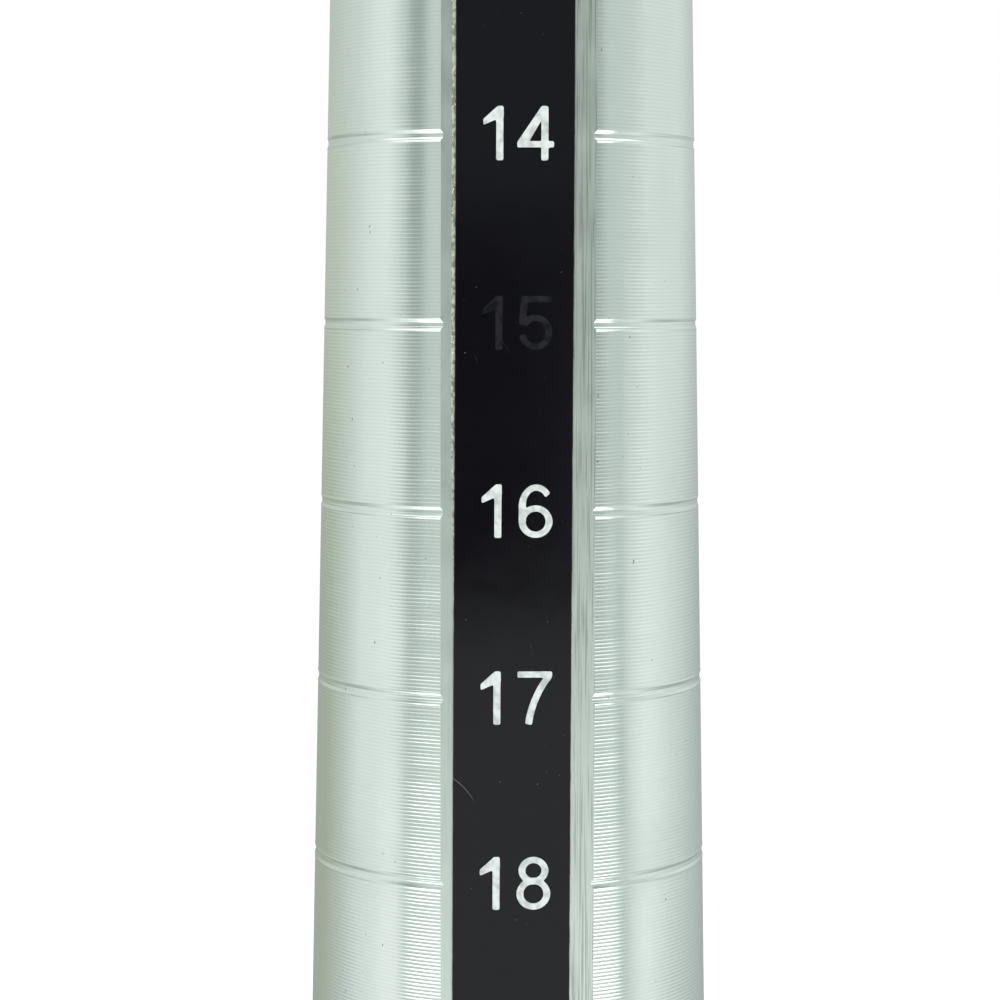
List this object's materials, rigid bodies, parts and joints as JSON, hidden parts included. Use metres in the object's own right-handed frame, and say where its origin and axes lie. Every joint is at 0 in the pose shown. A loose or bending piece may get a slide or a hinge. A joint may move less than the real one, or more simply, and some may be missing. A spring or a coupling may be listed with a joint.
{
  "type": "ring mandrel",
  "caption": "Tapered round gauge bar on a fluted handle: rings slide down the bar and stop at the engraved line of their size, read on a numbered strip.",
  "frame": {"origin": "middle of the foot pad's lowest face, which the mandrel stands on", "axes": "+Z along the bar's axis towards its thin end; the milled flat with the size numbers faces -Y; +X is to the right when the numbers are read"},
  "size_m": [0.028, 0.028, 0.349],
  "materials": {
    "turned_aluminium": "fine turned finish with circumferential feed marks, milled flat",
    "satin_aluminium": "satin turned",
    "black_film": "glossy black film with fine scratches",
    "adhesive": "dull translucent adhesive edge",
    "white_ink": "screen-printed ink, worn in places",
    "grip_plastic": "fine moulded texture",
    "black_steel": "black oxide",
    "plated_steel": "zinc plated",
    "pad_rubber": "dull moulded rubber"
  },
  "bodies": {
    "root": {"gauge_bar": "turned_aluminium", "strip_adhesive": "adhesive", "number_strip": "black_film", "size_numerals": "white_ink", "ferrule": "satin_aluminium", "handle_grip": "grip_plastic", "clamp_screw": "black_steel", "spring_washer": "plated_steel", "flat_washer": "plated_steel", "end_cap": "satin_aluminium", "foot_pad": "pad_rubber"}
  },
  "joints": []
}
